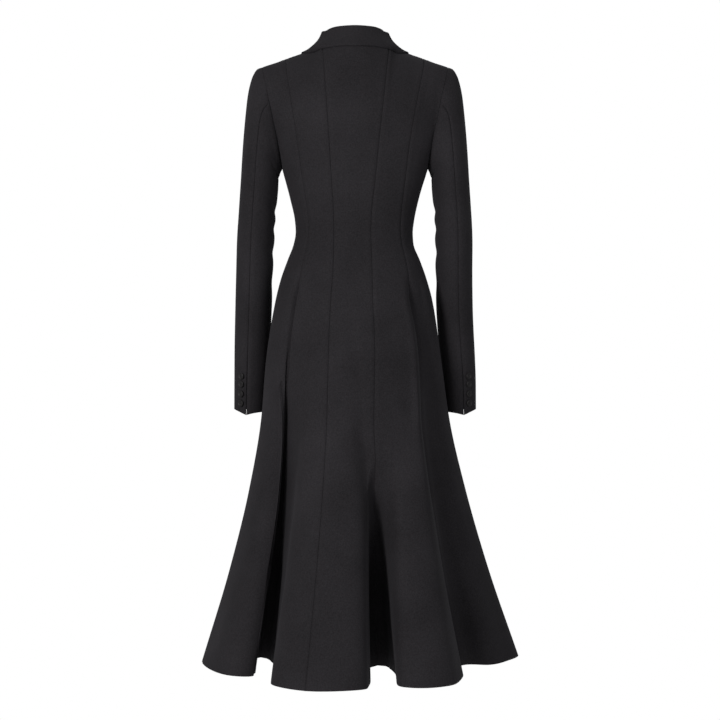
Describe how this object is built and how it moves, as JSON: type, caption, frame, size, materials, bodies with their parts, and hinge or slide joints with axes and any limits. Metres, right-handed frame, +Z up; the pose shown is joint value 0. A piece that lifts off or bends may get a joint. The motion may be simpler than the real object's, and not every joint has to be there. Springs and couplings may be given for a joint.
{
  "type": "long coat",
  "caption": "Fitted long coat in black wool with a notched collar, princess seams, two-piece buttoned sleeves and a fluted flared skirt, kept hollow in its worn shape.",
  "frame": {"origin": "middle of the neck opening, level with the neck seam, where the wearer's shoulders and neck carry the coat", "axes": "+Z up along the wearer's body, the coat's front faces -Y, +X is the wearer's left"},
  "size_m": [0.6246, 0.5893, 1.2303],
  "materials": {
    "black_wool": "matt, fine plain wool with a soft sheen",
    "black_button": "dark horn-like plastic, satin"
  },
  "bodies": {
    "root": {"back_center": "black_wool", "back_mid_left": "black_wool", "back_mid_right": "black_wool", "back_side_left": "black_wool", "back_side_right": "black_wool", "front_side_left": "black_wool", "front_side_right": "black_wool", "front_center_left": "black_wool", "front_center_right": "black_wool", "sleeve_top_left": "black_wool", "sleeve_top_right": "black_wool", "sleeve_under_left": "black_wool", "sleeve_under_right": "black_wool", "collar_stand": "black_wool", "collar_fall": "black_wool", "lapel_left": "black_wool", "lapel_right": "black_wool", "cuff_button_left_1": "black_button", "cuff_button_left_2": "black_button", "cuff_button_left_3": "black_button", "cuff_button_left_4": "black_button", "cuff_button_right_1": "black_button", "cuff_button_right_2": "black_button", "cuff_button_right_3": "black_button", "cuff_button_right_4": "black_button", "front_button_1": "black_button", "front_button_2": "black_button", "front_button_3": "black_button"}
  },
  "joints": []
}
